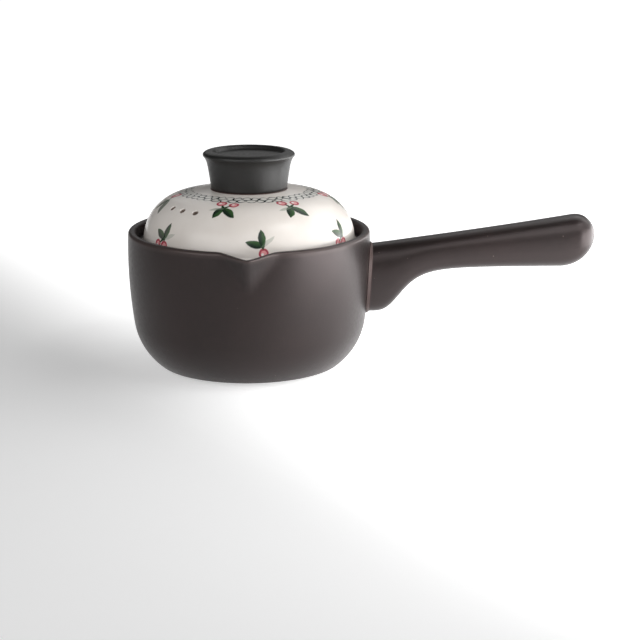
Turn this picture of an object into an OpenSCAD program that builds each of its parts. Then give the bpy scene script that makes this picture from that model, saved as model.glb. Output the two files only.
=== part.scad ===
// Ceramic milk pan: a bowl with a pouring lip, a long hollow side handle and a loose domed lid with a knob.
// The origin is on the table under the middle of the bowl, +Z is up, the handle points along +X
// and the pouring lip along -Y. All sizes are in millimetres.

/* [Bowl] */
// Outer diameter at the widest point of the wall
bowl_d = 165; // [150:1:180]
// Height of the rim above the table
bowl_h = 94.3; // [90:0.1:105]
// Height of the widest point of the wall
wide_z = 78; // [72:0.5:84]
// Radius of the wall's shallow bow
bow_r = 326; // [250:1:500]
// Height where the lower corner's curve begins
corner_z = 31; // [27:0.5:35]
// Radius of the lower corner's curve
corner_r = 44; // [40:0.5:48]
// Radius inside the bowl between the wall and the floor
inner_corner_r = 26; // [18:0.5:32]
// Thickness of the wall
wall_t = 6.5; // [5:0.1:8]
// Thickness of the floor
floor_t = 7; // [5:0.1:9]
// Thickness of the rim, which has a full round top
rim_t = 5.4; // [4:0.1:6.4]

/* [Foot ring] */
// Outer diameter of the foot ring
foot_d = 101; // [90:1:110]
// Width of the foot ring
foot_w = 6.5; // [4:0.1:10]
// Height of the foot ring below the base
foot_h = 2.7; // [1.5:0.1:4]
// Rounding of the foot ring's lower edges
foot_round = 0.9; // [0.3:0.1:1.4]

/* [Lid seat] */
// Depth of the seat below the top of the rim
seat_depth = 9.4; // [7:0.1:12]
// Width of the seat, inwards from the rim
seat_w = 7.8; // [6.6:0.1:9]
// Thickness of the seat at its inner edge
seat_t = 3; // [2:0.1:5]
// Height of the slope under the seat
seat_slope_h = 8; // [5:0.5:12]
// Rounding of the seat's inner edge and of its outer corner
seat_round = 1.2; // [0.5:0.1:1.8]

/* [Pouring lip] */
// How far the tip stands out from the rim
lip_reach = 14.5; // [10:0.5:18]
// Half the width of the lip where its sides run out into the rim
lip_half_w = 16; // [12:0.5:20]
// Height over which the beak under the lip runs out into the wall
lip_drop = 22; // [16:0.5:28]
// How far the rim dips at the tip
lip_dip = 2; // [0:0.1:3]
// Softness of the edge at the tip
lip_tip = 1.8; // [1:0.1:3]
// Softness of the blend from the lip into the wall
lip_blend = 5.5; // [3:0.1:7]

/* [Handle] */
// Length from the wall to the tip
handle_len = 154.2; // [120:0.1:175]
// Distance from the top of the rim down to the handle's upper edge at the wall
handle_below_rim = 11.4; // [9:0.1:16]
// Height of the handle at the wall, with its bracket
handle_root_h = 46.3; // [38:0.1:48]
// Width of the handle at the wall
handle_root_w = 32.4; // [26:0.2:38]
// Width of the handle at its waist
handle_waist_w = 28; // [22:0.2:32]
// Width of the handle at the grip's end
handle_end_w = 32.2; // [26:0.2:38]
// Distance from the wall to the waist
handle_waist_x = 52; // [40:1:70]
// Rise of the upper edge from the wall to the tip
handle_rise = 22.2; // [10:0.1:30]
// Sag of the upper edge below a straight line
handle_sag = 0.8; // [0:0.1:3]
// Depth of the grip's underside below the upper edge at the wall
grip_depth = 15.1; // [12:0.1:18]
// Length in which the bracket falls to half its depth
bracket_len = 23.5; // [18:0.5:30]
// Sharpness of the bracket's curve
bracket_power = 3.4; // [2.6:0.1:4]
// Height of the tip above the upper edge at the wall
tip_rise = 8; // [4:0.5:12]
// Length of the rounding on top of the tip
tip_top_len = 15; // [12:0.5:24]
// Length of the rounding under the tip
tip_under_len = 24; // [16:0.5:30]
// Radius of the tip's corners seen from above
tip_corner_r = 12; // [8:0.5:13]
// Squareness of the handle's section, where 2 is an ellipse
handle_square = 2.8; // [2.2:0.1:4]
// Wall of the hollow handle
handle_wall = 6; // [4:0.2:8]
// Thickness of the slip between the wall and the handle
slip_t = 1.2; // [0.6:0.1:2]
// How far the slip's bead stands proud of the handle
slip_bead = 0.9; // [0.4:0.1:1.6]

/* [Lid] */
// Gap between the lid's edge and the inside of the rim
lid_gap = 3.4; // [1:0.1:3.6]
// How far the lid's edge stands out from its side
lid_edge_w = 1.6; // [0.8:0.1:2.5]
// Height of the lid's edge
lid_edge_h = 1.8; // [1.2:0.1:2.6]
// Height of the lid's side above its seat, where the shoulder begins
lid_side_h = 2.9; // [2.7:0.1:6]
// Radius of the shoulder
shoulder_r = 31.5; // [26:0.5:36]
// Radius of the crown
crown_r = 245; // [180:1:300]
// Thickness of the lid
lid_t = 5; // [4:0.1:6]
// Diameter of a steam hole
steam_d = 3.6; // [2.5:0.1:4.5]
// Number of steam holes
steam_count = 3; // [1:1:5]
// Distance of the steam holes from the lid's axis
steam_ring_r = 58; // [52:0.5:60]
// Direction of the middle of the steam holes, in degrees from the handle
steam_dir = -138; // [-180:0.5:180]
// Angle between two steam holes
steam_step = 11.5; // [9:0.5:20]

/* [Knob] */
// Diameter of the knob at its foot
knob_foot_d = 51.4; // [44:0.2:58]
// Diameter of the knob at its lip
knob_top_d = 62.2; // [58.4:0.2:70]
// Height of the knob
knob_h = 25.4; // [20:0.1:32]
// Height of the lip's upright edge
knob_band_h = 0.6; // [0.4:0.1:2]
// Height of the lip's rounded edge
knob_lip_h = 2.6; // [1.5:0.1:3.5]
// Width of the lip's rounded edge
knob_lip_w = 5.5; // [3:0.1:7]
// Width of the lip's flat crest
knob_crest_w = 0.6; // [0.4:0.1:2]
// Diameter of the dished top's floor
dish_d = 44; // [36:0.5:47]
// Depth of the dished top
dish_depth = 2.9; // [1.5:0.1:4.5]
// Wall of the hollow knob
knob_wall = 6; // [4:0.2:8]

/* [Clearances] */
// Gap between the lid and its seat
seat_gap = 0.1; // [0.05:0.05:0.3]
// Gap between the slip and the curved face that it lies on
slip_gap = 0.05; // [0.02:0.01:0.1]

/* [Hidden] */
$fn = 96;

bowl_colour = "#3b3533";
slip_colour = "#7d7069";
lid_colour = "#e9e4de";
knob_colour = "#302e2c";

// Segments of the drawn arcs, columns each side of the lip's middle, and points round the handle
long_arc = 12;
short_arc = 6;
edge_arc = 3;
lip_columns = 14;
lip_column_bias = 1.3;
handle_sides = 40;
bar_rings = 22;
bar_ring_bias = 1.2;
tip_rings = 9;
// The last ring stops just short of the tip, where the section has no height left
tip_last_a = 86;

// Bowl: the wall's bow is tangent to the lower corner's curve, and the inside curves meet the floor
bow_c = [bowl_d / 2 - bow_r, wide_z];
corner_a = asin((wide_z - corner_z) / bow_r);
corner_c = bow_c + (bow_r - corner_r) * [cos(corner_a), -sin(corner_a)];
base_a = asin((corner_c.y - foot_h) / corner_r);
rim_z = bowl_h - rim_t / 2;
rim_c = [outer_r(rim_z) - rim_t / 2, rim_z];
rim_in_r = rim_c.x - rim_t / 2;
seat_z = bowl_h - seat_depth;
seat_r = rim_in_r - seat_w;
inner_bow_r = bow_r - wall_t;
floor_z = foot_h + floor_t;
inner_span = inner_bow_r - inner_corner_r;
inner_a = asin((wide_z - floor_z - inner_corner_r) / inner_span);
inner_c = bow_c + inner_span * [cos(inner_a), -sin(inner_a)];
slope_a = asin((seat_z - seat_t - seat_slope_h - wide_z) / inner_bow_r);

// Pouring lip: half the width of the notch that it fills, the angle each side that it covers,
// the height of its foot inside the wall, and how far its faces lie within the wall where it runs out
lip_run = lip_half_w * (1 + lip_blend / lip_reach) + lip_tip;
lip_a = asin((lip_run + rim_t / 2) * 2 / bowl_d);
lip_foot_z = bowl_h - lip_drop * (1 + lip_blend / lip_reach) - rim_t / 2;
lip_inset = 0.1;

// Handle: heights and lengths from the rim and the wall
root_x = bowl_d / 2;
root_top_z = bowl_h - handle_below_rim;
tip_x = root_x + handle_len;
waist_x = root_x + handle_waist_x;
bracket_h = handle_root_h - grip_depth;

// Lid: its edge from the rim, its crown from the shoulder
lid_z = seat_z + seat_gap;
lid_edge_r = rim_in_r - lid_gap;
lid_side_r = lid_edge_r - lid_edge_w;
shoulder_c = [lid_side_r - shoulder_r, lid_z + lid_side_h];
crown_rise = sqrt(pow(crown_r - shoulder_r, 2) - pow(shoulder_c.x, 2));
crown_z = shoulder_c.y - crown_rise;
crown_a = atan2(crown_rise, shoulder_c.x);

// Knob: its foot clears the crown's curve at the inner edge of the slip ring, and its side is a cone
// that flares out under the lip, by this share of its widening and this power of the height
knob_foot_r = knob_foot_d / 2;
knob_top_r = knob_top_d / 2;
knob_hollow_r = knob_foot_r - knob_wall;
knob_z = crown_top(knob_hollow_r) + slip_gap * 2;
knob_flare = 0.4;
knob_flare_power = 8;

function arc_points(c, r, a0, a1, n) =
    [for (i = [0 : n]) c + r * [cos(a0 + (a1 - a0) * i / n), sin(a0 + (a1 - a0) * i / n)]];
// The list without its first point, for an arc that goes on from a point already drawn
function tail(list) = [for (i = [1 : len(list) - 1]) list[i]];
function soft_positive(x, soft) = x <= -soft ? 0 : x >= soft ? x : pow(x + soft, 2) / (4 * soft);
function signed_power(x, p) = sign(x) * pow(abs(x), p);
function quarter_round(x, x0, len) = 1 - sqrt(1 - pow(min(1, max(0, (x - x0) / len)), 2));

// Outer radius of the bowl at a height
function outer_r(z) = z >= corner_z
    ? bow_c.x + sqrt(pow(bow_r, 2) - pow(z - bow_c.y, 2))
    : corner_c.x + sqrt(pow(corner_r, 2) - pow(z - corner_c.y, 2));

// Section of the bowl from the axis under the base, round the wall, to the axis on the floor
foot_r = foot_d / 2;
bowl_section = concat(
    [[0, foot_h], [foot_r - foot_w, foot_h]],
    arc_points([foot_r - foot_w + foot_round, foot_round], foot_round, 180, 270, edge_arc),
    arc_points([foot_r - foot_round, foot_round], foot_round, -90, 0, edge_arc),
    [[foot_r, foot_h]],
    arc_points(corner_c, corner_r, -base_a, -corner_a, long_arc),
    [for (i = [1 : short_arc]) bow_point(bow_r, -corner_a, asin((rim_z - wide_z) / bow_r), i / short_arc)],
    [for (p = arc_points(rim_c, rim_t / 2, 0, 180, long_arc)) if (p.x < rim_c.x + rim_t / 2) p],
    arc_points([rim_in_r - seat_round, seat_z + seat_round], seat_round, 0, -90, edge_arc),
    arc_points([seat_r + seat_round, seat_z - seat_round], seat_round, 90, 180, edge_arc),
    [[seat_r, seat_z - seat_t]],
    [for (i = [0 : short_arc]) bow_point(inner_bow_r, slope_a, -inner_a, i / short_arc)],
    tail(arc_points(inner_c, inner_corner_r, -inner_a, -90, long_arc)),
    [[0, floor_z]]
);
function bow_point(r, a0, a1, t) = bow_c + r * [cos(a0 + (a1 - a0) * t), sin(a0 + (a1 - a0) * t)];

// Section of the lip: up the outside of the wall, round the rim and down its inside, a little within the wall
lip_section = concat(
    [for (i = [0 : long_arc])
        let (z = lip_foot_z + (rim_z - lip_foot_z) * i / long_arc)
        [outer_r(z) - lip_inset, z]],
    tail(arc_points(rim_c, rim_t / 2 - lip_inset, 0, 180, short_arc)),
    [for (i = [1 : edge_arc]) [rim_in_r + lip_inset, rim_z + (seat_z - seat_t / 2 - rim_z) * i / edge_arc]],
    [[outer_r(lip_foot_z) - wall_t / 2, lip_foot_z]]
);

// How far the lip pushes a point of its section outwards, at x to one side of the lip's middle
function lip_push(x, depth, drop) = soft_positive(
    lip_reach * (1 - depth / drop) - lip_reach / lip_half_w * (sqrt(pow(x, 2) + pow(lip_tip, 2)) - lip_tip),
    lip_blend);
function lip_point(p, a) =
    let (push = lip_push(bowl_d / 2 * sin(a), bowl_h - p.y, p.x >= rim_c.x ? lip_drop : seat_depth))
    let (dip = lip_dip * push / lip_reach * max(0, (p.y - seat_z) / seat_depth))
    [(p.x + push) * sin(a), -(p.x + push) * cos(a), p.y - dip];
function lip_column(j) = lip_a * signed_power(j / lip_columns, lip_column_bias);

// Outline of the handle along its length
function upper_z(x) =
    let (t = (x - root_x) / handle_len)
    let (z = root_top_z + handle_rise * t - 4 * handle_sag * t * (1 - t))
    z + (root_top_z + tip_rise - z) * quarter_round(x, tip_x - tip_top_len, tip_top_len);
function under_z(x) =
    let (fall = bracket_h / (1 + pow(max(0, x - root_x) / bracket_len, bracket_power)))
    let (z = root_top_z - grip_depth - fall)
    z + (root_top_z + tip_rise - z) * quarter_round(x, tip_x - tip_under_len, tip_under_len);
function half_w(x) =
    let (t = x < waist_x ? (waist_x - x) / handle_waist_x : (x - waist_x) / (tip_x - tip_corner_r - waist_x))
    let (far_w = x < waist_x ? handle_root_w : handle_end_w)
    let (w = handle_waist_w + (far_w - handle_waist_w) * pow(min(t, 1), 2))
    w / 2 - tip_corner_r * quarter_round(x, tip_x - tip_corner_r, tip_corner_r);

// One ring of the handle's section, drawn in by an inset: [y, z] pairs
function ring(x, inset) =
    let (top = upper_z(x) - inset)
    let (under = under_z(x) + inset)
    [for (k = [0 : handle_sides - 1])
        let (a = 360 * k / handle_sides)
        [(half_w(x) - inset) * signed_power(cos(a), 2 / handle_square),
         (top + under) / 2 + (top - under) / 2 * signed_power(sin(a), 2 / handle_square)]];
// The ring at the wall, lifted off the wall by a distance
function wall_ring(inset, lift) =
    [for (q = ring(root_x, inset)) [sqrt(pow(outer_r(q[1]), 2) - pow(q[0], 2)) + lift, q[0], q[1]]];
function bar_ring(x, inset) = [for (q = ring(x, inset)) [x, q[0], q[1]]];

// Faces between two rings of n points, which start at points a and b, and an end face
function band(a, b, n) =
    [for (k = [0 : n - 1]) each [[a + k, b + k, b + (k + 1) % n], [a + k, b + (k + 1) % n, a + (k + 1) % n]]];
function fan(a, n) = [for (k = [0 : n - 1]) a + k];
function reversed(list) = [for (i = [len(list) - 1 : -1 : 0]) list[i]];

// Height of the lid's outer face near the axis
function crown_top(r) = crown_z + sqrt(pow(crown_r, 2) - pow(r, 2));

// The beak of the pouring lip, drawn out of the wall and the rim
module lip_beak() {
    n = len(lip_section);
    last = 2 * lip_columns * n;
    points = [for (j = [-lip_columns : lip_columns]) each
        [for (p = lip_section) lip_point(p, lip_column(j))]];
    sides = [for (j = [0 : 2 * lip_columns - 1]) each band((j + 1) * n, j * n, n)];
    polyhedron(points, concat(sides, [reversed(fan(0, n)), fan(last, n)]), convexity = 6);
}

module pot_body() {
    color(bowl_colour) union() {
        difference() {
            rotate_extrude() polygon(bowl_section);
            translate([-lip_run, -bowl_d, seat_z + lip_inset / 2])
                cube([2 * lip_run, bowl_d - seat_r - seat_round / 2, bowl_h]);
        }
        lip_beak();
    }
}

// The saddle of slip that holds the handle, with its bead round the outside
module handle_slip_joint() {
    rings = [
        wall_ring(-slip_bead, slip_gap),
        wall_ring(-slip_bead, slip_t / 2),
        wall_ring(-slip_bead / 3, slip_t),
        wall_ring(handle_wall, slip_t),
        wall_ring(handle_wall, slip_gap)
    ];
    n = handle_sides;
    color(slip_colour)
        polyhedron(
            [for (r = rings) each r],
            [for (i = [0 : len(rings) - 1]) each band(i * n, (i + 1) % len(rings) * n, n)],
            convexity = 6);
}

// The hollow handle is open at the wall
module handle() {
    n = handle_sides;
    bar_end = tip_x - tip_under_len;
    bar_start = root_x + slip_t;
    bar = [for (i = [1 : bar_rings]) bar_start + (bar_end - bar_start) * pow(i / bar_rings, bar_ring_bias)];
    tip = [for (i = [1 : tip_rings]) bar_end + tip_under_len * sin(tip_last_a * i / tip_rings)];
    outside = concat([wall_ring(0, slip_t)], [for (x = concat(bar, tip)) bar_ring(x, 0)]);
    inside = concat([wall_ring(handle_wall, slip_t)], [for (x = bar) bar_ring(x, handle_wall)]);
    start = len(outside) * n;
    faces = concat(
        [for (i = [0 : len(outside) - 2]) each band(i * n, (i + 1) * n, n)],
        [for (i = [0 : len(inside) - 2]) each band(start + (i + 1) * n, start + i * n, n)],
        band(start, 0, n),
        [reversed(fan(start - n, n)), fan(start + (len(inside) - 1) * n, n)]);
    color(bowl_colour) polyhedron([for (r = concat(outside, inside)) each r], faces, convexity = 6);
}

module lid_dome() {
    edge_c = [lid_side_r, lid_z + lid_edge_h - lid_edge_w / 2];
    outside = concat(
        [[lid_edge_r, lid_z]],
        arc_points(edge_c, lid_edge_w, 0, 60, edge_arc),
        arc_points(shoulder_c, shoulder_r, 0, crown_a, 2 * long_arc),
        tail(arc_points([0, crown_z], crown_r, crown_a, 90, long_arc)));
    inside = concat(
        arc_points([0, crown_z], crown_r - lid_t, 90, crown_a, long_arc),
        tail(arc_points(shoulder_c, shoulder_r - lid_t, crown_a, 0, 2 * long_arc)),
        [[lid_side_r - lid_t, lid_z]]);
    steam_a = acos((steam_ring_r - shoulder_c.x) / shoulder_r);
    color(lid_colour) difference() {
        rotate_extrude() polygon(concat(outside, inside));
        for (i = [0 : steam_count - 1])
            rotate([0, 0, steam_dir + (i - (steam_count - 1) / 2) * steam_step])
                translate([shoulder_c.x, 0, shoulder_c.y])
                    rotate([0, 90 - steam_a, 0])
                        translate([0, 0, shoulder_r - 2 * lid_t]) cylinder(d = steam_d, h = 3 * lid_t);
    }
}

// The ring of slip between the crown and the knob's flat foot
module knob_slip_joint() {
    outer = knob_foot_r + slip_bead / 2;
    color(slip_colour) rotate_extrude() polygon([
        [knob_hollow_r, crown_top(knob_hollow_r) + slip_gap],
        [outer, crown_top(outer) + slip_gap],
        [outer, knob_z - slip_bead / 3],
        [knob_foot_r + slip_bead / 6, knob_z],
        [knob_hollow_r, knob_z]
    ]);
}

module knob() {
    lip_c = [knob_top_r - knob_lip_w, knob_z + knob_h - knob_lip_h];
    crest_r = lip_c.x - knob_crest_w;
    flare_h = knob_h - knob_lip_h - knob_band_h;
    dish_z = knob_z + knob_h - dish_depth;
    hollow_z = dish_z - knob_wall;
    color(knob_colour) rotate_extrude() polygon(concat(
        [for (i = [0 : long_arc])
            let (t = i / long_arc)
            let (widening = (1 - knob_flare) * t + knob_flare * pow(t, knob_flare_power))
            [knob_foot_r + (knob_top_r - knob_foot_r) * widening, knob_z + flare_h * t]],
        [for (p = arc_points([0, 0], 1, 0, 90, long_arc)) lip_c + [knob_lip_w * p.x, knob_lip_h * p.y]],
        [for (i = [0 : short_arc])
            let (t = i / short_arc)
            [crest_r + (dish_d / 2 - crest_r) * t, dish_z + dish_depth * (1 + cos(180 * t)) / 2]],
        [[0, dish_z], [0, hollow_z], [knob_hollow_r, hollow_z], [knob_hollow_r, knob_z]]));
}

pot_body();
handle_slip_joint();
handle();
lid_dome();
knob_slip_joint();
knob();
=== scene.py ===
import math

import bpy
from mathutils import Matrix, Vector


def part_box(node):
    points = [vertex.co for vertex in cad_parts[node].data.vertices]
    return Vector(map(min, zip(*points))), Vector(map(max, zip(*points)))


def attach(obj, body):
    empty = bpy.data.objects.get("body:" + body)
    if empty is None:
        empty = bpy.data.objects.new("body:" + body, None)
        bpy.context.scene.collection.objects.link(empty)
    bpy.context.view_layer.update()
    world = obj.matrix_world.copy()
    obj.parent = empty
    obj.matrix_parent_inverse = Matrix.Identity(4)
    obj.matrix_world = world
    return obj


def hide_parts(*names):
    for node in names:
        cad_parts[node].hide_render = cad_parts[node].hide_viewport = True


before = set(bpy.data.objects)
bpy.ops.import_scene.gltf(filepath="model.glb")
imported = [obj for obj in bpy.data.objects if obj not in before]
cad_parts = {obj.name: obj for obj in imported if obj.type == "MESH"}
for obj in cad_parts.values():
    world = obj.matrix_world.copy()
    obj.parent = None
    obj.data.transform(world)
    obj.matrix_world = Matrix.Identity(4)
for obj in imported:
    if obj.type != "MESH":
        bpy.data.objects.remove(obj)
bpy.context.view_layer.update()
mm = 0.001
same = 0.01  # places closer than this, in mm, count as one
inColour = {"out": 2, "data_type": "RGBA"}  # a mix node that works on colours
scene = bpy.context.scene
scene.view_settings.view_transform = "Standard"
print("frame loaded:", sorted(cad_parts))

potLow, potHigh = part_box("pot_body")
lidLow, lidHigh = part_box("lid_dome")
knobLow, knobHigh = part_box("knob")
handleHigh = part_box("handle")[1]


# small tools
def linearChannel(value):
    return value / 12.92 if value <= 0.04045 else ((value + 0.055) / 1.055) ** 2.4


def hexColour(code):
    channels = [int(code[i:i + 2], 16) / 255 for i in (1, 3, 5)]
    return tuple(linearChannel(c) for c in channels) + (1.0,)


def addNode(tree, kind, *values, out=0, named=None, **settings):
    node = tree.nodes.new("ShaderNode" + kind)
    for key, value in settings.items():
        setattr(node, key, value)
    for key, value in list(enumerate(values)) + list((named or {}).items()):
        if isinstance(value, bpy.types.NodeSocket):
            tree.links.new(value, node.inputs[key])
        elif value is not None:
            node.inputs[key].default_value = value
    return node.outputs[out] if node.outputs else node


# an empty material, its tree, and the place on the piece in millimetres
def newMaterial(name):
    material = bpy.data.materials.new(name)
    material.use_nodes = True
    tree = material.node_tree
    tree.nodes.clear()
    onPiece = addNode(tree, "TexCoord", out=3)
    place = addNode(tree, "VectorMath", onPiece, named={"Scale": 1 / mm}, operation="SCALE")
    return material, tree, place


def arcPoints(centre, radius, start, end, steps):
    turns = [math.radians(start + (end - start) * i / steps) for i in range(steps + 1)]
    return [(centre[0] + radius * math.cos(a), centre[1] + radius * math.sin(a)) for a in turns]


def softPositive(x, soft):
    if x <= -soft:
        return 0.0
    return x if x >= soft else (x + soft) ** 2 / (4 * soft)


def signedPower(x, power):
    return math.copysign(abs(x) ** power, x)


def quarterRound(x, start, length):
    t = min(1.0, max(0.0, (x - start) / length))
    return 1 - math.sqrt(1 - t * t)


# a spin closes on itself when it is made in two halves
def wholeTurn(columns):
    return [(math.pi, columns // 2), (math.pi, columns // 2)]


def closeMesh(weld=0.002):
    bpy.ops.mesh.select_all(action="SELECT")
    bpy.ops.mesh.remove_doubles(threshold=weld * mm)
    bpy.ops.mesh.normals_make_consistent(inside=False)


# a profile is drawn by pushing out one vertex from point to point, then spun about the upright axis
def spinPiece(name, points, sectors, azimuth=0.0, smoothAngle=40):
    bpy.ops.object.select_all(action="DESELECT")
    bpy.ops.mesh.primitive_plane_add(size=mm)
    piece = bpy.context.object
    piece.name = piece.data.name = name
    bpy.ops.object.mode_set(mode="EDIT")
    bpy.ops.mesh.select_mode(type="VERT")
    bpy.ops.mesh.merge(type="CENTER")
    turn = Matrix.Rotation(azimuth, 3, "Z")
    places = [turn @ Vector((r * mm, 0, z * mm)) for r, z in points]
    bpy.ops.transform.translate(value=places[0])
    for here, there in zip(places, places[1:]):
        bpy.ops.mesh.extrude_vertices_move(TRANSFORM_OT_translate={"value": there - here})
    bpy.ops.mesh.select_all(action="SELECT")
    for angle, steps in sectors:
        bpy.ops.mesh.spin(steps=steps, angle=angle, center=(0, 0, 0), axis=(0, 0, 1))
    closeMesh()
    bpy.ops.object.mode_set(mode="OBJECT")
    bpy.ops.object.shade_smooth_by_angle(angle=math.radians(smoothAngle))
    return piece


def fitPiece(piece, body, node, slot, *materials):
    piece.data.materials.clear()
    for material in materials:
        piece.data.materials.append(material)
    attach(piece, body)
    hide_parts(node)


# bowl, in mm and degrees
bowl = {
    "bowRadius": 326, "widestHeight": 78, "cornerHeight": 31, "cornerRadius": 44, "innerCorner": 26,
    "wall": 6.5, "floor": 7, "rim": 5.4, "rimRound": 2.3,
    "footWidth": 101, "footRing": 6.5, "footHeight": 2.7, "footRound": 0.9, "footFillet": 1.2,
    "seatDepth": 9.4, "seatWidth": 7.8, "seatThick": 3, "seatSlope": 8, "seatRound": 1.2,
    "lipReach": 14.25, "lipHalfWidth": 17.2, "lipDrop": 23.5, "lipDip": 2, "lipTip": 0.6, "lipBlend": 3.6,
    "lipSector": 21, "lipColumns": 90, "columns": 170,
    # depths below the rim's top, in mm, for the rim's painted highlight
    "highlightStart": 0.5, "highlightEnd": 3.6, "highlightFade": 2,
}
bowlRadius = -potLow.x / mm
rimHeight = potHigh.z / mm
bowCentre = (bowlRadius - bowl["bowRadius"], bowl["widestHeight"])
cornerTurn = math.asin((bowl["widestHeight"] - bowl["cornerHeight"]) / bowl["bowRadius"])
cornerSpan = bowl["bowRadius"] - bowl["cornerRadius"]
cornerCentre = (bowCentre[0] + cornerSpan * math.cos(cornerTurn),
                bowCentre[1] - cornerSpan * math.sin(cornerTurn))


def wallRadius(z):
    centre, radius = (bowCentre, bowl["bowRadius"]) if z >= bowl["cornerHeight"] else (
        cornerCentre, bowl["cornerRadius"])
    return centre[0] + math.sqrt(radius ** 2 - (z - centre[1]) ** 2)


rimMiddle = rimHeight - bowl["rim"] / 2
rimCentre = (wallRadius(rimMiddle) - bowl["rim"] / 2, rimMiddle)
rimInside = rimCentre[0] - bowl["rim"] / 2
seatHeight = rimHeight - bowl["seatDepth"]
seatInside = rimInside - bowl["seatWidth"]


# from the axis under the base, round the foot ring, wall, rim and seat, to the axis on the floor
def bowlProfile():
    b = bowl
    fillet, footRound, footHeight = b["footFillet"], b["footRound"], b["footHeight"]
    footOut = b["footWidth"] / 2
    footIn = footOut - b["footRing"]
    baseTurn = math.degrees(math.asin((cornerCentre[1] - footHeight) / b["cornerRadius"]))
    wallTurn = math.degrees(cornerTurn)
    innerBow = b["bowRadius"] - b["wall"]
    floorHeight = footHeight + b["floor"]
    span = innerBow - b["innerCorner"]
    innerTurn = math.asin((b["widestHeight"] - floorHeight - b["innerCorner"]) / span)
    innerCentre = (bowCentre[0] + span * math.cos(innerTurn), bowCentre[1] - span * math.sin(innerTurn))
    innerTurn = math.degrees(innerTurn)
    seatUnder = seatHeight - b["seatThick"]
    slopeTurn = math.degrees(math.asin((seatUnder - b["seatSlope"] - b["widestHeight"]) / innerBow))
    rimRound, rimEdge = b["rimRound"], rimHeight - b["rimRound"]
    topTurn = math.degrees(math.asin((rimEdge - b["widestHeight"]) / b["bowRadius"]))
    seatRound = b["seatRound"]
    rimDepth = rimMiddle - seatHeight - seatRound
    return (
        [(0, footHeight), (footIn - fillet, footHeight)]
        + arcPoints((footIn - fillet, footHeight - fillet), fillet, 90, 0, 4)
        + arcPoints((footIn + footRound, footRound), footRound, 180, 270, 4)
        + arcPoints((footOut - footRound, footRound), footRound, -90, 0, 4)
        + arcPoints((footOut + fillet, footHeight - fillet), fillet, 180, 90, 4)
        + arcPoints(cornerCentre, b["cornerRadius"], -baseTurn, -wallTurn, 26)
        + arcPoints(bowCentre, b["bowRadius"], -wallTurn, topTurn, 26)[1:]
        + arcPoints((wallRadius(rimEdge) - rimRound, rimEdge), rimRound, 0, 90, 8)[1:]
        + [(rimCentre[0], rimHeight)]
        + arcPoints((rimInside + rimRound, rimEdge), rimRound, 90, 180, 8)
        + [(rimInside, rimMiddle - rimDepth * i / 4) for i in (1, 2, 3)]
        + arcPoints((rimInside - seatRound, seatHeight + seatRound), seatRound, 0, -90, 5)
        + arcPoints((seatInside + seatRound, seatHeight - seatRound), seatRound, 90, 180, 5)
        + [(seatInside, seatUnder)]
        + arcPoints(bowCentre, innerBow, slopeTurn, -innerTurn, 14)
        + arcPoints(innerCentre, b["innerCorner"], -innerTurn, -90, 18)[1:]
        + [(0, floorHeight)]
    )


# a painted highlight: how much lighter the glaze is painted along the rim's outer rounding, kept on each
# vertex for the glaze's colour
def markPaintedHighlight(piece):
    rimHighlight = piece.data.attributes.new("paintedRimHighlight", "FLOAT", "POINT")
    for vertex, mark in zip(piece.data.vertices, rimHighlight.data):
        x, y, z = vertex.co / mm
        depth = rimHeight - z
        if math.hypot(x, y) > rimCentre[0] - same:
            fade = min(1.0, max(0.0, (bowl["highlightEnd"] - depth) / bowl["highlightFade"]))
            mark.value = fade * min(1.0, depth / bowl["highlightStart"])


# how far the lip pushes out a point at x to one side of its middle
def lipPush(x, depth, drop):
    b = bowl
    ridge = math.sqrt(x * x + b["lipTip"] ** 2) - b["lipTip"]
    reach = b["lipReach"] * (1 - depth / drop) - b["lipReach"] / b["lipHalfWidth"] * ridge
    return softPositive(reach, b["lipBlend"])


# the lip is drawn out of the spun wall: each vertex near it slides outwards, and the rim dips a little
def drawLip(piece):
    b = bowl
    for vertex in piece.data.vertices:
        x, y, z = vertex.co / mm
        radius = math.hypot(x, y)
        turn = math.atan2(x, -y)
        if abs(turn) > math.radians(b["lipSector"]) or radius < seatInside + same:
            continue
        outside = radius >= rimCentre[0]
        if not outside and z < seatHeight - same:
            continue
        drop = b["lipDrop"] if outside else b["seatDepth"]
        push = lipPush(bowlRadius * math.sin(turn), rimHeight - z, drop)
        if not outside:
            push *= min(1.0, (radius - seatInside) / b["seatWidth"])
        dip = b["lipDip"] * push / b["lipReach"] * max(0.0, (z - seatHeight) / b["seatDepth"])
        radius += push
        vertex.co = Vector((radius * math.sin(turn), -radius * math.cos(turn), z - dip)) * mm


lipTurn = math.radians(bowl["lipSector"])
potBowl = spinPiece("potBowl", bowlProfile(),
                    [(2 * lipTurn, bowl["lipColumns"]), (2 * math.pi - 2 * lipTurn, bowl["columns"])],
                    azimuth=-math.pi / 2 - lipTurn)
markPaintedHighlight(potBowl)
drawLip(potBowl)
print("bowl spun and lip drawn:", len(potBowl.data.vertices), "vertices")


# handle, in mm
handle = {
    "belowRim": 11.4, "rootHeight": 46.3, "rootWidth": 32.4, "waistWidth": 28, "endWidth": 32.2, "waist": 52,
    "rise": 22.2, "sag": 0.8, "gripDepth": 15.1, "bracketLength": 23.5, "bracketPower": 3.4,
    "tipRise": 8, "tipTop": 15, "tipUnder": 24, "tipCorner": 12, "square": 2.8,
    "slip": 1.2, "fillet": 1.3, "filletSteps": 8, "filletFoot": 0.2,
    "bandIn": 4, "bandLap": 0.4, "bandBack": 1, "bandGap": 0.1,
    "sides": 64, "barRings": 44, "barSpread": 1.25, "tipRings": 18,
    "leastHalfWidth": 0.05, "leastHalfHeight": 0.002,
}
rootX = bowlRadius
tipX = handleHigh.x / mm
rootTop = rimHeight - handle["belowRim"]
tipHeight = rootTop + handle["tipRise"]
handleLength = tipX - rootX


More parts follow.
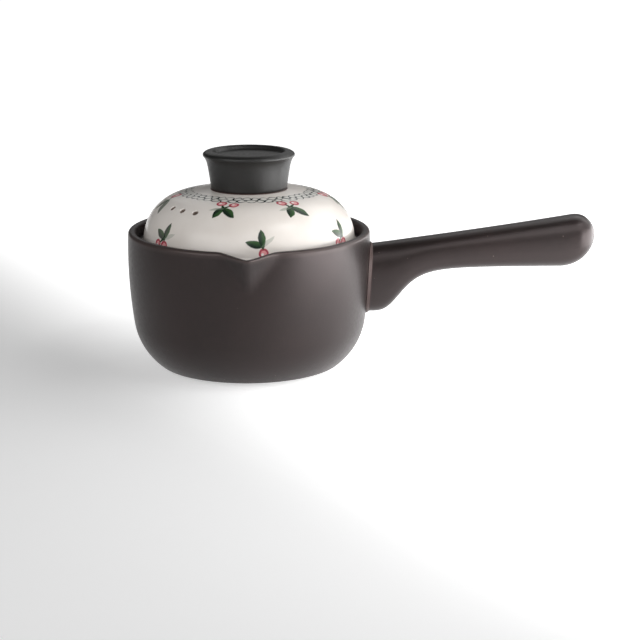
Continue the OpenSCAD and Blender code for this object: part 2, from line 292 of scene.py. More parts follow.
def gripTop(x):
    t = (x - rootX) / handleLength
    z = rootTop + handle["rise"] * t - 4 * handle["sag"] * t * (1 - t)
    return z + (tipHeight - z) * quarterRound(x, tipX - handle["tipTop"], handle["tipTop"])


def gripUnder(x):
    bracket = handle["rootHeight"] - handle["gripDepth"]
    fall = bracket / (1 + (max(0.0, x - rootX) / handle["bracketLength"]) ** handle["bracketPower"])
    z = rootTop - handle["gripDepth"] - fall
    return z + (tipHeight - z) * quarterRound(x, tipX - handle["tipUnder"], handle["tipUnder"])


def gripHalfWidth(x):
    waistX = rootX + handle["waist"]
    cornerX = tipX - handle["tipCorner"]
    if x < waistX:
        t, farWidth = (waistX - x) / handle["waist"], handle["rootWidth"]
    else:
        t, farWidth = (x - waistX) / (cornerX - waistX), handle["endWidth"]
    width = handle["waistWidth"] + (farWidth - handle["waistWidth"]) * min(t, 1.0) ** 2
    return width / 2 - handle["tipCorner"] * quarterRound(x, cornerX, handle["tipCorner"])


# a point of the unit section, between a circle and a square
def squareTurn(k):
    a = 2 * math.pi * k / handle["sides"]
    return signedPower(math.cos(a), 2 / handle["square"]), signedPower(math.sin(a), 2 / handle["square"])


def wallX(y, z):
    return math.sqrt(wallRadius(z) ** 2 - y * y)


# a ring of the section at the wall, grown outwards along the wall
def rootRing(grow):
    middle = (gripTop(rootX) + gripUnder(rootX)) / 2
    halfHeight = (gripTop(rootX) - gripUnder(rootX)) / 2 + grow
    halfWidth = gripHalfWidth(rootX) + grow
    return [(halfWidth * c, middle + halfHeight * s) for c, s in map(squareTurn, range(handle["sides"]))]


# the section is squared from a circle, then pushed out, sized and lifted from ring to ring along the grip
def makeHandle():
    bars, tips = handle["barRings"], handle["tipRings"]
    barStart = rootX + handle["slip"]
    barEnd = tipX - handle["tipUnder"]
    stations = [barStart + (barEnd - barStart) * (i / bars) ** handle["barSpread"] for i in range(bars + 1)]
    stations += [barEnd + handle["tipUnder"] * math.sin(math.pi / 2 * i / tips) for i in range(1, tips + 1)]
    bpy.ops.object.select_all(action="DESELECT")
    bpy.ops.mesh.primitive_circle_add(vertices=handle["sides"], radius=mm, fill_type="NOTHING")
    piece = bpy.context.object
    piece.name = piece.data.name = "handleGrip"
    for k, vertex in enumerate(piece.data.vertices):
        c, s = squareTurn(k)
        vertex.co = Vector((0, c * mm, s * mm))
    bpy.ops.object.mode_set(mode="EDIT")
    bpy.ops.mesh.select_all(action="SELECT")
    last = (0.0, 0.0, 1.0, 1.0)
    for i, x in enumerate(stations):
        top, under = gripTop(x), gripUnder(x)
        halfWidth = max(gripHalfWidth(x), handle["leastHalfWidth"])
        halfHeight = max((top - under) / 2, handle["leastHalfHeight"])
        here = (x, (top + under) / 2, halfWidth, halfHeight)
        if i:
            bpy.ops.mesh.extrude_region_move()
        bpy.ops.transform.resize(value=(1, here[2] / last[2], here[3] / last[3]),
                                 center_override=(last[0] * mm, 0, last[1] * mm))
        bpy.ops.transform.translate(value=((here[0] - last[0]) * mm, 0, (here[1] - last[1]) * mm))
        last = here
    bpy.ops.object.mode_set(mode="OBJECT")
    # the first ring lies on the slip, which lies on the round wall
    for vertex, (y, z) in zip(piece.data.vertices, rootRing(0)):
        vertex.co = Vector((wallX(y, z) + handle["slip"], y, z)) * mm
    # the first ring is closed with a face
    bpy.ops.object.mode_set(mode="EDIT")
    bpy.ops.mesh.select_all(action="DESELECT")
    bpy.ops.object.mode_set(mode="OBJECT")
    for edge in piece.data.edges:
        edge.select = all(index < handle["sides"] for index in edge.vertices)
    bpy.ops.object.mode_set(mode="EDIT")
    bpy.ops.mesh.select_mode(type="EDGE")
    bpy.ops.mesh.edge_face_add()
    closeMesh(weld=0.02)
    bpy.ops.object.mode_set(mode="OBJECT")
    bpy.ops.object.shade_smooth_by_angle(angle=math.radians(50))
    return piece


# the slip is a torus laid round the root: a hollow fillet outside, and a flat band inside the joint
def makeHandleSlip():
    fillet, steps, lift, sides = handle["fillet"], handle["filletSteps"], handle["slip"], handle["sides"]
    bandIn, bandGap = handle["bandIn"], handle["bandGap"]
    turns = [math.pi / 2 * i / steps for i in range(steps + 1)]
    section = [(fillet * (1 - math.sin(t)), lift + fillet * (1 - math.cos(t))) for t in turns]
    foot = lift * handle["filletFoot"]
    section = [(grow, rise if grow < fillet - same else foot) for grow, rise in section]
    section += [(-bandIn, lift + handle["bandLap"]), (-bandIn, bandGap), (-handle["bandBack"], bandGap)]
    bpy.ops.object.select_all(action="DESELECT")
    bpy.ops.mesh.primitive_torus_add(major_segments=sides, minor_segments=len(section))
    piece = bpy.context.object
    piece.name = piece.data.name = "handleSlip"
    for j, (grow, rise) in enumerate(section):
        for k, (y, z) in enumerate(rootRing(grow)):
            vertex = piece.data.vertices[k * len(section) + j]
            vertex.co = Vector((wallX(y, z) + rise, y, z)) * mm
    bpy.ops.object.mode_set(mode="EDIT")
    closeMesh()
    bpy.ops.object.mode_set(mode="OBJECT")
    bpy.ops.object.shade_smooth_by_angle(angle=math.radians(60))
    return piece


handleGrip = makeHandle()
handleSlip = makeHandleSlip()
print("handle pushed out and joined:", len(handleGrip.data.vertices), "vertices")


# lid, in mm and degrees
lid = {
    "edge": 1.6, "edgeHeight": 1.8, "edgeTurn": 62, "edgeInset": 0.5, "edgeChamfer": 0.4, "innerChamfer": 0.6,
    "sideHeight": 2.9, "sideTurn": 1, "shoulder": 31.5, "crown": 245, "thick": 5, "columns": 216,
    "steamWidth": 3.6, "steamMouth": 1.2, "steamRing": 58, "steamTurn": -138, "steamStep": 11.5,
    "steamHoles": 3, "steamColumns": 40, "cutterFlare": 0.6, "cutterTop": 1.2,
    "coatDepth": 0.6, "backDepth": 0.3, "pierceHeight": 2,
}
lidBase = lidLow.z / mm
lidOut = lidHigh.x / mm
lidSide = lidOut - lid["edge"]
shoulderCentre = (lidSide - lid["shoulder"], lidBase + lid["sideHeight"])
crownRise = math.sqrt((lid["crown"] - lid["shoulder"]) ** 2 - shoulderCentre[0] ** 2)
crownCentre = (0.0, shoulderCentre[1] - crownRise)
crownTurn = math.degrees(math.atan2(crownRise, shoulderCentre[0]))


def lidProfile():
    thick, chamfer = lid["thick"], lid["innerChamfer"]
    edgeCentre = (lidSide, lidBase + lid["edgeHeight"] - lid["edge"] / 2)
    sideInside = lidSide - thick
    bottom = (lidOut - lid["edgeInset"], lidBase)
    outside = (
        [bottom, (lidOut, lidBase + lid["edgeChamfer"])]
        + arcPoints(edgeCentre, lid["edge"], 0, lid["edgeTurn"], 6)
        + arcPoints(shoulderCentre, lid["shoulder"], lid["sideTurn"], crownTurn, 44)
        + arcPoints(crownCentre, lid["crown"], crownTurn, 90, 22)[1:]
    )
    inside = (
        arcPoints(crownCentre, lid["crown"] - thick, 90, crownTurn, 16)
        + arcPoints(shoulderCentre, lid["shoulder"] - thick, crownTurn, 0, 26)[1:]
        + [(sideInside, lidBase + chamfer), (sideInside + chamfer, lidBase), bottom]
    )
    return outside + inside


# one cutter for each steam hole, with a mouth that the glaze has rounded
def cutSteamHoles(piece):
    radius, mouth, top = lid["steamWidth"] / 2, lid["steamMouth"], lid["shoulder"]
    under, over = top - 2 * lid["thick"], top + lid["cutterTop"]
    turns = [math.radians(a) for a in (0, 15, 30, 45, 60)]
    flare = [(radius + mouth - mouth * math.cos(a), top - mouth + mouth * math.sin(a)) for a in turns]
    profile = [(0, under), (radius, under)] + flare + [(flare[-1][0] + lid["cutterFlare"], over), (0, over)]
    lean = math.acos((lid["steamRing"] - shoulderCentre[0]) / lid["shoulder"])
    for i in range(lid["steamHoles"]):
        turn = math.radians(lid["steamTurn"] + (i - (lid["steamHoles"] - 1) / 2) * lid["steamStep"])
        cutter = spinPiece("steamCutter", profile, wholeTurn(lid["steamColumns"]))
        cutter.matrix_world = (
            Matrix.Rotation(turn, 4, "Z")
            @ Matrix.Translation(Vector((shoulderCentre[0], 0, shoulderCentre[1])) * mm)
            @ Matrix.Rotation(math.pi / 2 - lean, 4, "Y"))
        bpy.ops.object.select_all(action="DESELECT")
        bpy.context.view_layer.objects.active = piece
        piece.select_set(True)
        hole = piece.modifiers.new("steamHole", "BOOLEAN")
        hole.operation = "DIFFERENCE"
        hole.solver = "EXACT"
        hole.object = cutter
        bpy.ops.object.modifier_apply(modifier=hole.name)
        bpy.data.objects.remove(cutter)


# the painted glaze is on the outside, the plain one on the inside, and the walls of the steam holes are bare
# clay, darker to paint the shade inside them
def splitLidFaces(piece):
    for face in piece.data.polygons:
        x, y, z = face.center / mm
        radius = math.hypot(x, y)
        shoulderDepth = lid["shoulder"] - math.hypot(radius - shoulderCentre[0], z - shoulderCentre[1])
        crownDepth = lid["crown"] - math.hypot(radius, z - crownCentre[1])
        depth = shoulderDepth if radius > shoulderCentre[0] else crownDepth
        within = lid["coatDepth"] < depth < lid["thick"] - lid["backDepth"]
        pierced = within and z > shoulderCentre[1] + lid["pierceHeight"]
        face.material_index = 0 if depth < lid["coatDepth"] else 2 if pierced else 1


lidDome = spinPiece("lidDome", lidProfile(), wholeTurn(lid["columns"]))
cutSteamHoles(lidDome)
bpy.ops.object.shade_smooth_by_angle(angle=math.radians(40))
print("lid spun and pierced:", len(lidDome.data.vertices), "vertices")


# knob, in mm
knob = {
    "foot": 51.4, "footChamfer": 0.4, "band": 0.6, "lipHeight": 2.6, "lipWidth": 5.5, "crest": 0.6,
    "flare": 0.4, "flarePower": 8, "sideSteps": 30, "sideSpread": 0.8,
    "dish": 44, "dishDepth": 2.9, "dishSteps": 10, "dishSag": (0.1, 0.15), "wall": 6, "columns": 160,
    "bead": 0.9, "beadSide": [(0.05, 0.55), (-0.15, 0.25)], "slipGap": (0.05, 0.02), "slipInset": 0.1,
}
knobFoot = knob["foot"] / 2
knobTop = knobHigh.x / mm
knobBase = knobLow.z / mm
knobHeight = knobHigh.z / mm


def crownHeight(radius):
    return crownCentre[1] + math.sqrt(lid["crown"] ** 2 - radius ** 2)


def knobProfile():
    k = knob
    chamfer, flare, dishDepth = k["footChamfer"], k["flare"], k["dishDepth"]
    lipCentre = (knobTop - k["lipWidth"], knobHeight - k["lipHeight"])
    crest = lipCentre[0] - k["crest"]
    rise = knobHeight - knobBase - k["lipHeight"] - k["band"]
    dishFloor = knobHeight - dishDepth
    dishUnder = dishFloor - k["wall"]
    hollow = knobFoot - k["wall"]
    steps = [(i / k["sideSteps"]) ** k["sideSpread"] for i in range(k["sideSteps"] + 1)]
    side = [(knobFoot + (knobTop - knobFoot) * ((1 - flare) * t + flare * t ** k["flarePower"]),
             knobBase + rise * t) for t in steps]
    lip = [(lipCentre[0] + k["lipWidth"] * c, lipCentre[1] + k["lipHeight"] * s)
           for c, s in arcPoints((0, 0), 1, 0, 90, 16)]
    falls = [i / k["dishSteps"] for i in range(k["dishSteps"] + 1)]
    dish = [(crest + (k["dish"] / 2 - crest) * t, dishFloor + dishDepth * (1 + math.cos(math.pi * t)) / 2)
            for t in falls]
    return (
        [(hollow, knobBase), (knobFoot - chamfer, knobBase), (knobFoot, knobBase + chamfer)]
        + side[1:] + lip + dish
        + [(k["dish"] / 4, dishFloor - k["dishSag"][0]), (0, dishFloor - k["dishSag"][1]),
           (0, dishUnder), (hollow, dishUnder), (hollow, knobBase)]
    )


def knobSlipProfile():
    k = knob
    inner, outer = knobFoot - k["wall"], knobFoot + k["bead"] / 2
    innerFoot = (inner, crownHeight(inner) + k["slipGap"][0])
    outerFoot = (outer, crownHeight(outer) + k["slipGap"][1])
    bead = [(outer + out, knobBase - k["bead"] * down) for out, down in k["beadSide"]]
    top = [(knobFoot - k["slipInset"], knobBase), (inner, knobBase)]
    return [innerFoot, outerFoot] + bead + top + [innerFoot]


lidKnob = spinPiece("lidKnob", knobProfile(), wholeTurn(knob["columns"]))
knobSlip = spinPiece("knobSlip", knobSlipProfile(), wholeTurn(knob["columns"]), smoothAngle=60)
print("knob and its slip spun")


# glazes, with the sizes of their patterns in mm
iron = {
    "cloud": 38, "cloudShare": 0.7, "mottle": 2.4, "mottleShare": 0.3, "blend": (0.36, 0.64),
    "speckCell": 12, "speckEdge": (0.042, 0.028), "speckShare": 0.6,
    "smoother": 0.05, "rougher": 0.06, "peel": 1.1, "peelDepth": 0.12, "peelStrength": 0.25, "ior": 1.5,
}
white = {
    "cloud": 26, "waver": 9, "waverDepth": 0.3, "waverStrength": 0.12, "roughness": (0.2, 0.27), "ior": 1.52,
    "pale": "#e8e2dc", "painted": "#e0d9d2", "plain": "#ded6cd",
}
# bare clay for the steam holes' walls, dark enough to paint the shade inside them
clay = {
    "dark": "#786a60", "pale": "#96877b", "roughness": 0.8,
    "grain": 0.8, "grainDepth": 0.1, "grainStrength": 0.3,
}


# stoneware under a dark iron glaze, dipped and fired satin: a soft broad sheen, faint mottling and pin specks
def ironGlaze(name, dark, warm, speck, edge, sheen, roughness):
    g = iron
    material, tree, place = newMaterial(name)
    cloud = addNode(tree, "TexNoise", named={"Vector": place, "Scale": 1 / g["cloud"], "Detail": 3})
    mottle = addNode(tree, "TexNoise", named={
        "Vector": place, "Scale": 1 / g["mottle"], "Detail": 4, "Roughness": 0.65})
    blend = addNode(tree, "Math", mottle, g["mottleShare"], operation="MULTIPLY")
    blend = addNode(tree, "Math", cloud, g["cloudShare"], blend, operation="MULTIPLY_ADD")
    blend = addNode(tree, "MapRange", blend, *g["blend"])
    colour = addNode(tree, "Mix", named={0: blend, 6: hexColour(dark), 7: hexColour(warm)}, **inColour)
    # a few pin specks about 0.8 mm wide, where a cell has its centre in the glaze
    cells = addNode(tree, "TexVoronoi", named={"Vector": place, "Scale": 1 / g["speckCell"]})
    specks = addNode(tree, "MapRange", cells, *g["speckEdge"], 0.0, g["speckShare"])
    colour = addNode(tree, "Mix", named={0: specks, 6: colour, 7: hexColour(speck)}, **inColour)
    # a painted highlight: paler along the rim's outer rounding, where the vertices are marked
    rimHighlight = addNode(tree, "Attribute", out=2, attribute_name="paintedRimHighlight")
    colour = addNode(tree, "Mix", named={0: rimHighlight, 6: colour, 7: hexColour(edge)}, **inColour)
    rough = addNode(tree, "MapRange", mottle, 0.3, 0.7, roughness - g["smoother"], roughness + g["rougher"])
    peel = addNode(tree, "TexNoise", named={"Vector": place, "Scale": 1 / g["peel"], "Detail": 2})
    bump = addNode(tree, "Bump", named={
        "Strength": g["peelStrength"], "Distance": g["peelDepth"] * mm, "Height": peel})
    shader = addNode(tree, "BsdfPrincipled", named={
        "Base Color": colour, "Roughness": rough, "Normal": bump, "IOR": g["ior"],
        "Specular Tint": hexColour(sheen)})
    addNode(tree, "OutputMaterial", shader)
    return material


# white tin-opacified glaze, poured and fired glossy, over pale clay: a bright coat with a faint waver
def whiteGlaze(tree, place, colour):
    waver = addNode(tree, "TexNoise", named={"Vector": place, "Scale": 1 / white["waver"], "Detail": 2})
    bump = addNode(tree, "Bump", named={
        "Strength": white["waverStrength"], "Distance": white["waverDepth"] * mm, "Height": waver})
    rough = addNode(tree, "MapRange", waver, 0.3, 0.7, *white["roughness"])
    shader = addNode(tree, "BsdfPrincipled", named={
        "Base Color": colour, "Roughness": rough, "Normal": bump, "IOR": white["ior"]})
    addNode(tree, "OutputMaterial", shader)


# the white's own faint clouds
def glazeTint(tree, place, deep):
    cloud = addNode(tree, "TexNoise", named={"Vector": place, "Scale": 1 / white["cloud"], "Detail": 3})
    blend = addNode(tree, "MapRange", cloud, 0.3, 0.7)
    return addNode(tree, "Mix", named={0: blend, 6: hexColour(white["pale"]), 7: hexColour(deep)}, **inColour)


# the same white glaze inside the lid, without paint
def plainLidGlaze():
    material, tree, place = newMaterial("whiteTinGlaze")
    whiteGlaze(tree, place, glazeTint(tree, place, white["plain"]))
    return material


# bare stoneware clay, wiped free of glaze: dull and brown, and dark enough to paint the shade inside the
# steam holes
def bareClayAndHoleShade():
    material, tree, place = newMaterial("bareStonewareAndHoleShade")
    grain = addNode(tree, "TexNoise", named={"Vector": place, "Scale": 1 / clay["grain"], "Detail": 3})
    colour = addNode(tree, "Mix", named={
        0: grain, 6: hexColour(clay["dark"]), 7: hexColour(clay["pale"])}, **inColour)
    bump = addNode(tree, "Bump", named={
        "Strength": clay["grainStrength"], "Distance": clay["grainDepth"] * mm, "Height": grain})
    shader = addNode(tree, "BsdfPrincipled", named={
        "Base Color": colour, "Roughness": clay["roughness"], "Normal": bump})
    addNode(tree, "OutputMaterial", shader)
    return material


# painted sprigs and chain, in mm and degrees
# a sprig: its direction on the lid, turn of its leaves, strength of their paint, and if it has a second berry
# a leaf: where it starts, its direction, length, width and weight of paint
# a berry: its place to the side and outwards, and its radius
paint = {
    "centre": (0.2, 5.0), "innerRadius": 56.5,
    "innerSprigs": [(-164, -8, 0.75, 0), (-107, 0, 1.0, 1), (-61, 0, 1.0, 1), (-5, 14, 0.85, 1),
                    (44, 8, 0.7, 1), (94, -6, 0.85, 1), (145, 6, 1.0, 1)],
    "innerLeaves": [((0.0, 0.0), -28, 10.0, 5.4, 1.0), ((0.6, 0.0), 48, 12.4, 5.6, 1.0),
                    ((-0.5, 0.4), -76, 9.0, 2.4, 0.55)],
    "innerBerries": [(-3.0, -6.3, 3.6), (5.9, -4.9, 3.3)],
    "outerArc": 8.6,
    "outerSprigs": [(-141, 6, 0.9, 1), (-82.3, -6, 1.0, 0), (-29, 3, 0.95, 1), (20, 4, 0.8, 1),
                    (68, -8, 0.7, 1), (115, 6, 0.9, 1), (158, 0, 0.9, 1)],
    "outerLeaves": [((0.0, 0.0), -70, 11.6, 5.2, 1.0), ((0.2, 0.2), 2, 11.2, 5.0, 1.0),
                    ((0.3, 0.0), 58, 10.0, 2.8, 0.4)],
    "outerBerries": [(0.6, -4.6, 3.1), (-6.4, -4.2, 3.0)],
    "mostTurn": 60, "edge": 2.2, "overlap": 1.6, "fullWeight": 0.9,
    "leafDark": "#13281a", "leafLight": "#34552d", "leafPale": "#6f7f6c",
    "stemWidth": 1.8, "stemInset": 0.8, "stemLap": 1.15,
    "berryLine": "#b14c59", "berryFill": "#e59fa0", "berryShine": "#f6efec",
    "lineInset": 0.6, "lineHalf": 0.65, "shineSpot": (0.25, 0.2), "shineSize": 0.28,
    "chainLine": "#1d2f2f", "chainFill": "#c9d6cf", "chainCentre": (0.3, 6.2), "chainRadius": 43.6,
    "chainLoops": 47, "chainRow": 2.1, "chainLoop": 2.6, "chainWidth": 0.5,
    "fillFade": 0.8, "fillShare": 0.25,
    "waver": 4.5, "waverReach": 1.3, "loose": 7, "looseReach": 3.4, "dip": 6, "dry": (0.36, 0.56, 0.45, 1.0),
}


# a place as direction round a centre, from 0 to 1, distance from it, and height
def polar(tree, place, centre):
    moved = addNode(tree, "VectorMath", place, (-centre[0], -centre[1], 0), operation="ADD")
    parts = addNode(tree, "SeparateXYZ", moved).node
    turn = addNode(tree, "Math", parts.outputs[1], parts.outputs[0], operation="ARCTAN2")
    turn = addNode(tree, "Math", turn, 1 / (2 * math.pi), 0.5, operation="MULTIPLY_ADD")
    flat = addNode(tree, "VectorMath", moved, (1, 1, 0), operation="MULTIPLY")
    return turn, addNode(tree, "VectorMath", flat, out=1, operation="LENGTH"), parts.outputs[2]


# finds the nearest sprig's own direction, turn, strength and berries from a stepped ramp round the lid
def sprigCell(tree, turn, sprigs):
    most = paint["mostTurn"]
    middles = sorted(((a / 360 + 0.5) % 1, (tilt + most) / (2 * most), strength, second)
                     for a, tilt, strength, second in sprigs)
    ramp = addNode(tree, "ValToRGB", turn)
    stops = ramp.node.color_ramp
    stops.interpolation = "CONSTANT"
    edges = [(a[0] + b[0]) / 2 for a, b in zip(middles, middles[1:])]
    wrap = (middles[-1][0] - 1 + middles[0][0]) / 2
    # the cell that holds the seam of the ramp is entered at both ends
    first = middles[0] if wrap <= 0 else (middles[-1][0] - 1,) + middles[-1][1:]
    cells = [(0.0, first)] + ([(wrap, middles[0])] if wrap > 0 else []) + list(zip(edges, middles[1:]))
    if wrap < 0:
        cells.append((1 + wrap, (middles[0][0] + 1,) + middles[0][1:]))
    while len(stops.elements) < len(cells):
        stops.elements.new(0.5)
    for element, (position, values) in zip(stops.elements, cells):
        element.position = position
    for element, (position, values) in zip(stops.elements, cells):
        element.color = values
    parts = addNode(tree, "SeparateColor", ramp).node
    return parts.outputs[0], parts.outputs[1], parts.outputs[2], ramp.node.outputs[1]


# a leaf is one pressed brush stroke, pointed at both ends and darker on one side of its middle
def paintLeaf(tree, colour, spot, leaf, strength):
    base, angle, length, width, weight = leaf
    lean, overlap = math.radians(angle), paint["overlap"]
    root = (base[0] - overlap * math.sin(lean), base[1] - overlap * math.cos(lean), 0)
    size = (width / 2, length + overlap, 1)
    own = addNode(tree, "Mapping", spot, root, (0, 0, -lean), size, vector_type="TEXTURE")
    parts = addNode(tree, "SeparateXYZ", own).node
    across, along = parts.outputs[0], parts.outputs[1]
    square = addNode(tree, "Math", along, along, operation="MULTIPLY")
    belly = addNode(tree, "Math", along, square, operation="SUBTRACT")
    belly = addNode(tree, "Math", belly, 4.0, operation="MULTIPLY")
    aside = addNode(tree, "Math", across, operation="ABSOLUTE")
    inside = addNode(tree, "Math", belly, aside, operation="SUBTRACT")
    sharp = paint["edge"] * width / 2
    mask = addNode(tree, "Math", inside, sharp, 0.5, operation="MULTIPLY_ADD", use_clamp=True)
    mask = addNode(tree, "Math", mask, strength, operation="MULTIPLY")
    mask = addNode(tree, "Math", mask, weight, operation="MULTIPLY")
    green = hexColour(paint["leafPale"])
    if weight >= paint["fullWeight"]:
        side = addNode(tree, "MapRange", across, -0.4, 0.7)
        green = addNode(tree, "Mix", named={
            0: side, 6: hexColour(paint["leafDark"]), 7: hexColour(paint["leafLight"])}, **inColour)
    return addNode(tree, "Mix", named={0: mask, 6: colour, 7: green}, **inColour)


# a berry is a pink round with a light spot and a red line round it
def paintBerry(tree, colour, spot, berry, present):
    u, v, radius = berry
    edge = paint["edge"]
    soft = {"operation": "MULTIPLY_ADD", "use_clamp": True}
    away = addNode(tree, "VectorMath", spot, (u, v, 0), out=1, operation="DISTANCE")
    fill = addNode(tree, "Math", away, -edge, 0.5 + edge * radius, **soft)
    line = addNode(tree, "Math", away, radius - paint["lineInset"], operation="SUBTRACT")
    line = addNode(tree, "Math", line, operation="ABSOLUTE")
    line = addNode(tree, "Math", line, -edge, 0.5 + edge * paint["lineHalf"], **soft)
    light = (u - radius * paint["shineSpot"][0], v - radius * paint["shineSpot"][1], 0)
    shine = addNode(tree, "VectorMath", spot, light, out=1, operation="DISTANCE")
    shine = addNode(tree, "Math", shine, -edge, 0.5 + edge * radius * paint["shineSize"], **soft)
    for mask, code in ((fill, "berryFill"), (shine, "berryShine"), (line, "berryLine")):
        mask = addNode(tree, "Math", mask, present, operation="MULTIPLY")
        colour = addNode(tree, "Mix", named={0: mask, 6: colour, 7: hexColour(paint[code])}, **inColour)
    return colour


def paintRing(tree, colour, turn, radius, outwards, sprigs, leaves, berries):
    middle, tilt, strength, second = sprigCell(tree, turn, sprigs)
    aside = addNode(tree, "Math", turn, middle, operation="SUBTRACT")
    aside = addNode(tree, "Math", aside, 2 * math.pi, operation="MULTIPLY")
    aside = addNode(tree, "Math", aside, radius, operation="MULTIPLY")
    spot = addNode(tree, "CombineXYZ", aside, outwards)
    for berry, present in zip(berries, (1.0, second)):
        colour = paintBerry(tree, colour, spot, berry, present)
    # the stems run from the leaves to the berries
    for (u, v, r), present in zip(berries, (strength, second)):
        length = (math.hypot(u, v) - r * paint["stemInset"]) * paint["stemLap"]
        stem = ((0.0, 0.0), math.degrees(math.atan2(u, v)), length, paint["stemWidth"], 1.0)
        colour = paintLeaf(tree, colour, spot, stem, present)
    most = math.radians(paint["mostTurn"])
    lean = addNode(tree, "MapRange", tilt, 0.0, 1.0, -most, most)
    turned = addNode(tree, "VectorRotate", spot, (0, 0, 0), None, lean, rotation_type="Z_AXIS")
    for leaf in leaves:
        colour = paintLeaf(tree, colour, turned, leaf, strength)
    return colour


# the chain is two rows of small loops drawn with a thin brush, each row half a loop behind the other
def paintChain(tree, colour, turn, radius, wet):
    loops, edge = paint["chainLoops"], paint["edge"]
    pitch = 2 * math.pi * paint["chainRadius"] / loops
    fillColour, lineColour = hexColour(paint["chainFill"]), hexColour(paint["chainLine"])
    soft = {"operation": "MULTIPLY_ADD", "use_clamp": True}
    for row, shift in ((-1, 0.0), (1, 0.5)):
        beat = addNode(tree, "Math", turn, loops, shift, operation="MULTIPLY_ADD")
        beat = addNode(tree, "Math", beat, operation="FRACT")
        aside = addNode(tree, "Math", beat, pitch, -pitch / 2, operation="MULTIPLY_ADD")
        rowRadius = paint["chainRadius"] + row * paint["chainRow"]
        off = addNode(tree, "Math", radius, rowRadius, operation="SUBTRACT")
        spot = addNode(tree, "CombineXYZ", aside, off)
        away = addNode(tree, "VectorMath", spot, out=1, operation="LENGTH")
        off = addNode(tree, "Math", away, paint["chainLoop"], operation="SUBTRACT")
        fill = addNode(tree, "Math", off, -paint["fillFade"], 0.0, **soft)
        fill = addNode(tree, "Math", fill, paint["fillShare"], operation="MULTIPLY")
        colour = addNode(tree, "Mix", named={0: fill, 6: colour, 7: fillColour}, **inColour)
        line = addNode(tree, "Math", off, operation="ABSOLUTE")
        line = addNode(tree, "Math", line, -edge, 0.5 + edge * paint["chainWidth"], **soft)
        line = addNode(tree, "Math", line, wet, operation="MULTIPLY")
        colour = addNode(tree, "Mix", named={0: line, 6: colour, 7: lineColour}, **inColour)
    return colour


# a hand's waver: what is drawn moves to and fro by up to half the reach
def shakeHand(tree, place, drawn, size, reach, detail):
    waver = addNode(tree, "TexNoise", named={"Vector": place, "Scale": 1 / size, "Detail": detail}, out=1)
    whole, back = (reach,) * 3, (-reach / 2,) * 3
    waver = addNode(tree, "VectorMath", waver, whole, back, operation="MULTIPLY_ADD")
    return addNode(tree, "VectorMath", drawn, waver, operation="ADD")


# the white glaze with sprigs and chain painted on by hand and fired in
def paintedLidGlaze():
    material, tree, place = newMaterial("paintedTinGlaze")
    colour = glazeTint(tree, place, white["painted"])
    drawn = shakeHand(tree, place, place, paint["waver"], paint["waverReach"], 2)
    # the chain is drawn looser than the sprigs, with a brush that runs dry and is dipped again
    loose = shakeHand(tree, place, drawn, paint["loose"], paint["looseReach"], 1)
    turn, radius, height = polar(tree, loose, paint["chainCentre"])
    wet = addNode(tree, "TexNoise", named={"Vector": place, "Scale": 1 / paint["dip"], "Detail": 1})
    wet = addNode(tree, "MapRange", wet, *paint["dry"])
    colour = paintChain(tree, colour, turn, radius, wet)
    turn, radius, height = polar(tree, drawn, paint["centre"])
    outwards = addNode(tree, "Math", radius, paint["innerRadius"], operation="SUBTRACT")
    colour = paintRing(tree, colour, turn, radius, outwards, paint["innerSprigs"], paint["innerLeaves"],
                       paint["innerBerries"])
    # the outer sprigs follow the shoulder's curve, measured along it from the lid's side
    turn, radius, height = polar(tree, drawn, (0.0, 0.0))
    over = addNode(tree, "Math", height, shoulderCentre[1], operation="SUBTRACT")
    beyond = addNode(tree, "Math", radius, shoulderCentre[0], operation="SUBTRACT")
    rise = addNode(tree, "Math", over, beyond, operation="ARCTAN2")
    upwards = addNode(tree, "Math", rise, lid["shoulder"], -paint["outerArc"], operation="MULTIPLY_ADD")
    colour = paintRing(tree, colour, turn, radius, upwards, paint["outerSprigs"], paint["outerLeaves"],
                       paint["outerBerries"])
    whiteGlaze(tree, place, colour)
    return material


# iron glaze, dark brown on the bowl and the handle, and nearly black on the knob
# on the bowl the fifth colour is a painted highlight, lighter along the rim's outer rounding
bowlGlaze = ironGlaze("ironGlazeBowl", "#181312", "#211918", "#6b5f59", "#3e3533", "#fff0f0", 0.36)
knobGlaze = ironGlaze("ironGlazeKnob", "#171716", "#1e1d1c", "#3a3633", "#3a3633", "#ffffff", 0.4)
# fired slip under a thin coat of the dark glaze: a shade redder than the wall, and lighter, which paints a
# highlight along the seam
slipGlazeAndHighlight = ironGlaze("ironGlazeSlipAndHighlight", "#352725", "#43332f", "#5f5149", "#5f5149", "#fff0f0", 0.45)

fitPiece(potBowl, "pot", "pot_body", "bowl_glaze", bowlGlaze)
fitPiece(handleGrip, "pot", "handle", "bowl_glaze", bowlGlaze)
fitPiece(handleSlip, "pot", "handle_slip_joint", "fired_slip", slipGlazeAndHighlight)
fitPiece(lidDome, "lid", "lid_dome", "lid_glaze", paintedLidGlaze(), plainLidGlaze(), bareClayAndHoleShade())
splitLidFaces(lidDome)
fitPiece(lidKnob, "lid", "knob", "knob_glaze", knobGlaze)
fitPiece(knobSlip, "lid", "knob_slip_joint", "fired_slip", slipGlazeAndHighlight)
print("pieces glazed and placed")


# studio, in metres, with the slant of the floor's painted falloff in mm
studio = {
    "floor": 16.0, "floorDrop": 0.0002, "paper": "#dcdcdc", "near": 0.22, "slant": (1.0, 0.6, 0.0),
    "greyUntil": -160, "whiteFrom": 100, "world": 0.08,
}
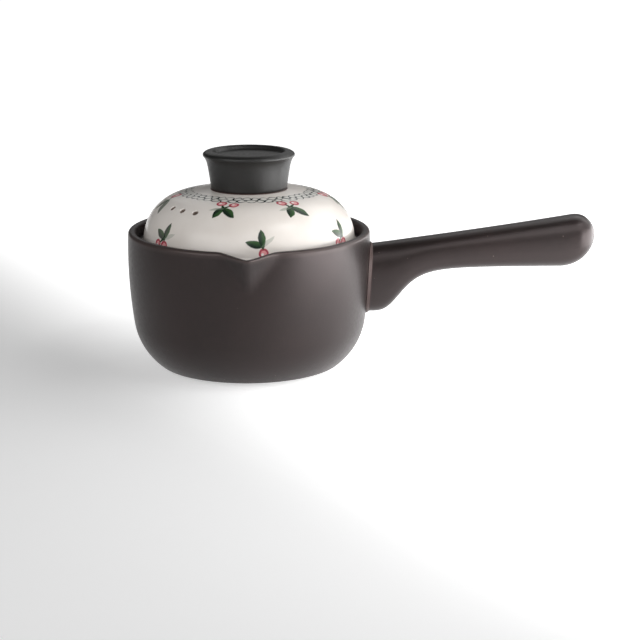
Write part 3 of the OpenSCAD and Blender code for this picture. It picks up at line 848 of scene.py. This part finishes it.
# a lamp: its place, what it points at, width, height and power in watts
lamps = {
    "lowStrip": ((0.42, -0.12, 0.075), (0, -0.07, 0.07), 0.6, 0.14, 1.65),
    "rightPanel": ((0.5, 0.03, 0.34), (0, 0, 0.09), 0.46, 0.36, 0.82),
    "rightBack": ((0.42, 0.36, 0.55), (0, 0, 0.1), 0.5, 0.45, 0.8),
    "backStrip": ((0.6, 0.42, 0.12), (0, 0, 0.09), 0.42, 0.22, 0.7),
    "keyHigh": ((0.32, -0.22, 0.6), (0.06, 0, 0.1), 0.3, 0.14, 0.6),
    "floorWash": ((0.34, -0.3, 0.26), (0.22, -0.22, 0), 0.3, 0.3, 0.55),
    "leftFill": ((-0.8, -1.1, 0.68), (0, 0, 0.1), 1.7, 0.9, 10.4),
    "highFill": ((0.1, -1.2, 1.3), (0, 0, 0.05), 0.9, 0.7, 2.3),
    "backFill": ((0.0, 1.6, 0.9), (0, 0, 0.05), 1.2, 0.8, 1.5),
}


# matte white paper with a glow seen by camera and glossy rays: white behind the pan and on its right, fading
# greyer in front of it on the left, a painted falloff of light
def studioFloor():
    bpy.ops.object.select_all(action="DESELECT")
    bpy.ops.mesh.primitive_plane_add(size=studio["floor"], location=(0, 0, -studio["floorDrop"]))
    paper = bpy.context.object
    paper.name = "studioFloor"
    material, tree, place = newMaterial("whitePaper")
    rays = addNode(tree, "LightPath").node.outputs
    seen = addNode(tree, "Math", rays["Is Camera Ray"], rays["Is Glossy Ray"], operation="MAXIMUM")
    seen = addNode(tree, "Math", seen, rays["Is Transmission Ray"], operation="MAXIMUM")
    slant = addNode(tree, "VectorMath", place, studio["slant"], out=1, operation="DOT_PRODUCT")
    # painted shade: the glow dims from white towards the front left
    pale = addNode(tree, "MapRange", slant, studio["greyUntil"], studio["whiteFrom"], studio["near"], 1.0,
                   interpolation_type="SMOOTHSTEP")
    glow = addNode(tree, "Emission", (1, 1, 1, 1), addNode(tree, "Math", seen, pale, operation="MULTIPLY"))
    matte = addNode(tree, "BsdfDiffuse", hexColour(studio["paper"]))
    addNode(tree, "OutputMaterial", addNode(tree, "AddShader", matte, glow))
    paper.data.materials.append(material)


def studioWorld():
    world = bpy.data.worlds.new("studioWorld")
    world.use_nodes = True
    tree = world.node_tree
    tree.nodes.clear()
    addNode(tree, "OutputWorld", addNode(tree, "Background", (1, 1, 1, 1), studio["world"]))
    scene.world = world


def softBox(name, place, target, width, height, power):
    lamp = bpy.data.lights.new(name, "AREA")
    lamp.shape = "RECTANGLE"
    lamp.size, lamp.size_y = width, height
    lamp.energy = power
    box = bpy.data.objects.new(name, lamp)
    scene.collection.objects.link(box)
    box.location = place
    box.rotation_euler = (Vector(target) - Vector(place)).to_track_quat("-Z", "Y").to_euler()


studioFloor()
studioWorld()
for lampName, lampValues in lamps.items():
    softBox(lampName, *lampValues)

# the photo's camera: its place in mm, the directions it looks in, and the image's framing
view = {
    "place": (17.94, -1102.45, 316.2), "ahead": (0.05107, 0.97446, -0.21866),
    "up": (0.00464, 0.21872, 0.97578), "lens": 92.466, "sensor": 36, "shift": (-0.0625, -0.0875),
}


def photoCamera():
    lens = bpy.data.cameras.new("photoCamera")
    lens.sensor_width = view["sensor"]
    lens.lens = view["lens"]
    lens.shift_x, lens.shift_y = view["shift"]
    eye = bpy.data.objects.new("photoCamera", lens)
    scene.collection.objects.link(eye)
    ahead, up = Vector(view["ahead"]).normalized(), Vector(view["up"])
    right = ahead.cross(up).normalized()
    up = right.cross(ahead)
    turn = Matrix((right, up, -ahead)).transposed().to_4x4()
    eye.matrix_world = Matrix.Translation(Vector(view["place"]) * mm) @ turn
    scene.camera = eye


photoCamera()
print("studio lit, camera set")
